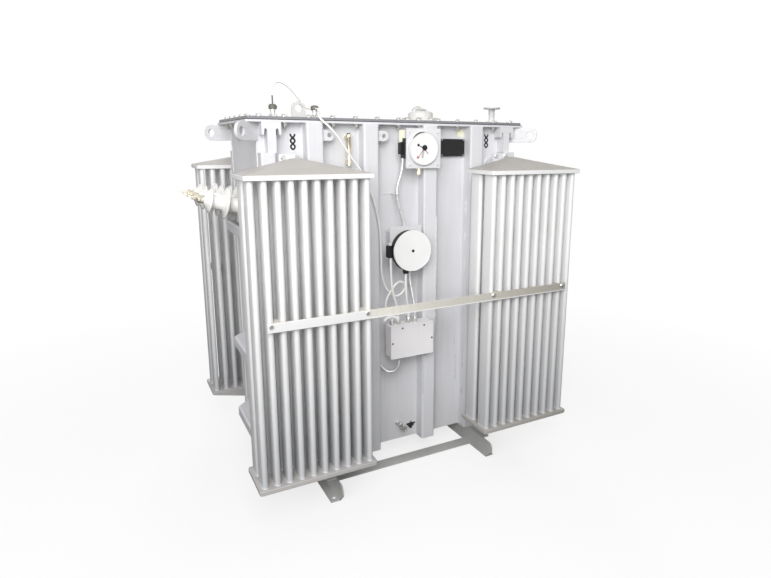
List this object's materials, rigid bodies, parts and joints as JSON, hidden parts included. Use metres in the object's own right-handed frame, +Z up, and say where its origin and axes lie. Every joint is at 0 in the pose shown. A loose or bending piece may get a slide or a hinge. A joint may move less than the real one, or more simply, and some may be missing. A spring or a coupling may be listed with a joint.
{
  "type": "oil-filled distribution transformer",
  "caption": "Sealed oil-filled power transformer: flat-walled tank with channel stiffeners, hanging tube radiators, tilted end bushings, gauges and junction box, on channel skids.",
  "frame": {"origin": "on the floor, in the middle of the four holding-down holes of the skids", "axes": "+X along the long gauge wall to its right, +Y away from the gauge side, +Z up"},
  "size_m": [1.7224, 1.208, 1.743],
  "materials": {
    "filling": "core, windings and oil",
    "fitting_paint": "light grey satin paint",
    "tank_paint": "light grey satin paint",
    "cover_paint": "grey satin paint",
    "gasket": "black oil-proof rubber",
    "radiator_paint": "off-white satin paint",
    "header_paint": "pale warm grey satin paint",
    "brace_paint": "warm grey satin paint",
    "skid_paint": "mid grey satin paint",
    "porcelain": "white glaze",
    "stud_brass": "plain",
    "zinc": "zinc plated",
    "knob_plastic": "dark moulded plastic",
    "gauge_paint": "light grey satin paint",
    "dial_white": "white dial under a clear window",
    "black_plastic": "black moulded plastic",
    "brass": "plain",
    "box_paint": "light grey satin paint",
    "black_plate": "black enamel",
    "capillary": "drawn tube",
    "white_lead": "white sheath",
    "metal_lead": "ribbed metal sheath"
  },
  "bodies": {
    "root": {"bottom_conduit": "metal_lead", "bushing_porcelains": "porcelain", "bushing_sockets": "tank_paint", "bushing_studs": "stud_brass", "cable_glands": "zinc", "cover_eyes": "fitting_paint", "cover_gasket": "gasket", "cover_lead": "white_lead", "cover_plate": "cover_paint", "dome_flange": "fitting_paint", "dome_grip": "zinc", "drain_valve": "zinc", "earthing_boss": "zinc", "end_ribs": "tank_paint", "eye_plates": "tank_paint", "junction_box": "box_paint", "junction_box_legs": "box_paint", "junction_box_lid": "box_paint", "lifting_lugs": "tank_paint", "lower_gauge_body": "black_plastic", "lower_gauge_bracket": "gauge_paint", "lower_gauge_dial": "dial_white", "lower_gauge_leads": "white_lead", "lower_gauge_terminals": "black_plastic", "oil_filled_core": "filling", "oil_level_tube": "brass", "pocket_capillary": "capillary", "pocket_knobs": "knob_plastic", "radiator_braces": "brace_paint", "radiator_front_left_headers": "header_paint", "radiator_front_left_tubes": "radiator_paint", "radiator_front_right_headers": "header_paint", "radiator_front_right_tubes": "radiator_paint", "radiator_necks": "tank_paint", "radiator_rear_left_headers": "header_paint", "radiator_rear_left_tubes": "radiator_paint", "radiator_rear_right_headers": "header_paint", "radiator_rear_right_tubes": "radiator_paint", "rating_plate": "black_plate", "rating_plate_spacers": "tank_paint", "relief_dome": "fitting_paint", "rim_flange": "tank_paint", "skid_left": "skid_paint", "skid_right": "skid_paint", "skid_strips": "skid_paint", "sling_cleats": "tank_paint", "stiffeners_front": "tank_paint", "stiffeners_rear": "tank_paint", "tank_floor": "tank_paint", "tank_wall_front": "tank_paint", "tank_wall_left": "tank_paint", "tank_wall_rear": "tank_paint", "tank_wall_right": "tank_paint", "thermometer_pockets": "zinc", "upper_gauge_dial": "dial_white", "upper_gauge_lead": "metal_lead", "upper_gauge_plate": "gauge_paint", "upper_gauge_terminal": "black_plastic", "upper_gauge_union": "brass", "vent_pipe": "fitting_paint"}
  },
  "joints": []
}
